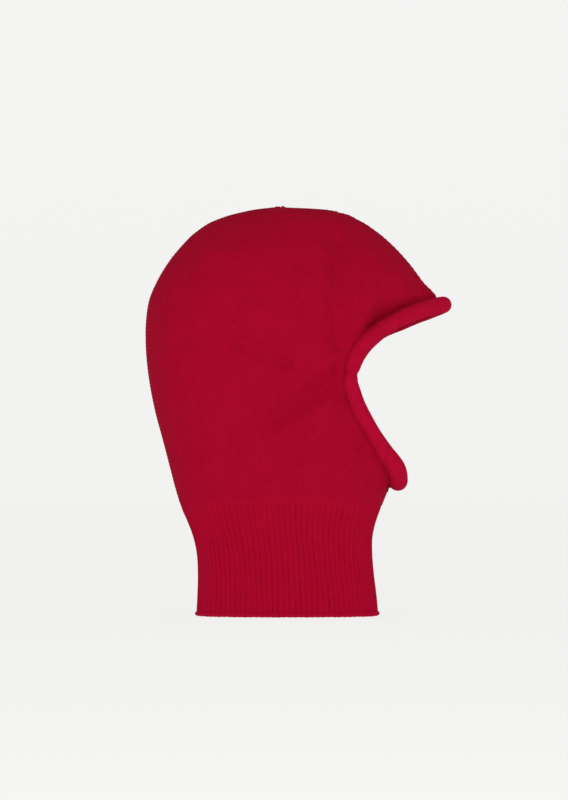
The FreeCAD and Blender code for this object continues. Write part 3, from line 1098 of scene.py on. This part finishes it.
def build_hood():
    right = hood_panel("hood_right", -1, FOLDS_RIGHT, 0.4)
    left = hood_panel("hood_left", 1, FOLDS_LEFT, 1.9)
    seam_cord("crown_seam", low=302.6, column=1, depth=1.25, strand=0.9, twist=0.6, pitch=10.6)
    seam_cord("back_seam", low=107.5, column=0, depth=0.9, strand=0.7, twist=0.45, pitch=7.0)
    throat_seam()
    crown_knot()


def build_face_edge():
    roll_piece("brim_roll", brim_rows(), phase=0.3, hand=1)
    roll_piece("chin_roll", chin_rows(), phase=1.7, hand=-1)
    crease_chain("brim_seam", brim_rows())
    crease_chain("chin_seam", chin_rows())
    temple_tack("temple_tack_right", -1)
    temple_tack("temple_tack_left", 1)


def build_neck():
    rib = neck_rib()
    # The hem takes the rolled material: painted sheen makes it lighter than the rib along its
    # edge.
    closed_ring(
        "hem_edge", depth=1.7, height=2.5, radial=3.1, upright=2.2, wave=0.09, slot="rib_knit"
    )
    closed_ring(
        "neck_seam", depth=2.05, height=0.8, radial=1.75, upright=1.3, wave=0.1,
        slot="linking_yarn", follow_join=True,
    )
    neck_back_seam()


def build_label():
    label = care_label()
    stitches = label_stitches()


# --- studio -------------------------------------------------------------------------------

# In metres, but for the sensor.
AIM = Vector((-0.0033, 0.0, 0.2056))
DISTANCE = 5.5
FIELD_HEIGHT = 0.762
SENSOR = 36.0
FLOOR_RADIUS = 6.6
WALL_CURVE = 0.9
WALL_TOP = 2.6


def build_camera():
    """Level and square to the right side."""
    data = bpy.data.cameras.new("camera")
    data.sensor_width = SENSOR
    data.lens = SENSOR * DISTANCE / FIELD_HEIGHT
    camera = bpy.data.objects.new("camera", data)
    camera.location = AIM + Vector((0, -DISTANCE, 0))
    camera.rotation_euler = (math.pi / 2, 0, 0)
    bpy.context.scene.collection.objects.link(camera)
    bpy.context.scene.camera = camera


def paper_material():
    """Pale matte paper with a very soft unevenness, lit a little from behind."""
    n = Nodes("paper")
    shade = n.blend(n.noise(1.7, 1.0), (0.10, 0.10, 0.099, 1), (0.12, 0.12, 0.119, 1))
    n.feed(n.shader.inputs["Base Color"], shade)
    n.shader.inputs["Roughness"].default_value = 1.0
    n.shader.inputs["Specular IOR Level"].default_value = 0.0
    n.shader.inputs["Emission Color"].default_value = (1.0, 1.0, 0.99, 1.0)
    n.shader.inputs["Emission Strength"].default_value = 0.81
    return n.material


def build_backdrop():
    """A round floor that curves up into a low wall, far enough out to hold every view."""
    bend = np.linspace(0, math.pi / 2, 20)
    curve = FLOOR_RADIUS + WALL_CURVE * np.sin(bend)
    radius = np.concatenate(([0.02, 3.0], curve, curve[-1:]))
    z = np.concatenate(([0.0, 0.0], WALL_CURVE * (1 - np.cos(bend)), [WALL_TOP]))
    around = np.linspace(0, 2 * math.pi, 96, endpoint=False)
    x = radius[:, None] * np.cos(around)
    y = radius[:, None] * np.sin(around)
    points = np.stack((x, y, z[:, None] + 0 * x), -1).reshape(-1, 3)
    faces = grid_faces(len(radius), len(around), closed_columns=True).tolist()
    faces.append(list(range(len(around))))
    mesh = bpy.data.meshes.new("backdrop")
    mesh.from_pydata(points.tolist(), [], faces)
    mesh.materials.append(paper_material())
    mesh.shade_smooth()
    backdrop = bpy.data.objects.new("backdrop", mesh)
    bpy.context.scene.collection.objects.link(backdrop)


def area_light(name, place, width, height, power):
    """A soft panel that faces the object."""
    data = bpy.data.lights.new(name, "AREA")
    data.shape = "RECTANGLE"
    data.size = width
    data.size_y = height
    data.energy = power
    light = bpy.data.objects.new(name, data)
    light.location = place
    light.rotation_euler = (AIM - light.location).to_track_quat("-Z", "Y").to_euler()
    light.visible_camera = False
    bpy.context.scene.collection.objects.link(light)


def build_light():
    """Even white light from all round, and two soft panels from the front."""
    world = bpy.data.worlds.new("world")
    bpy.context.scene.world = world
    world.use_nodes = True
    background = world.node_tree.nodes["Background"]
    background.inputs["Color"].default_value = (1, 1, 1, 1)
    background.inputs["Strength"].default_value = 0.56
    area_light("key", Vector((0.1, -4.2, 1.0)), width=1.8, height=1.0, power=40)
    area_light("fill", Vector((0.6, -6.0, 0.17)), width=2.4, height=0.28, power=60)
    bpy.context.scene.view_settings.view_transform = "Standard"


build_camera()
build_light()
build_backdrop()
build_hood()
build_face_edge()
build_neck()
build_label()
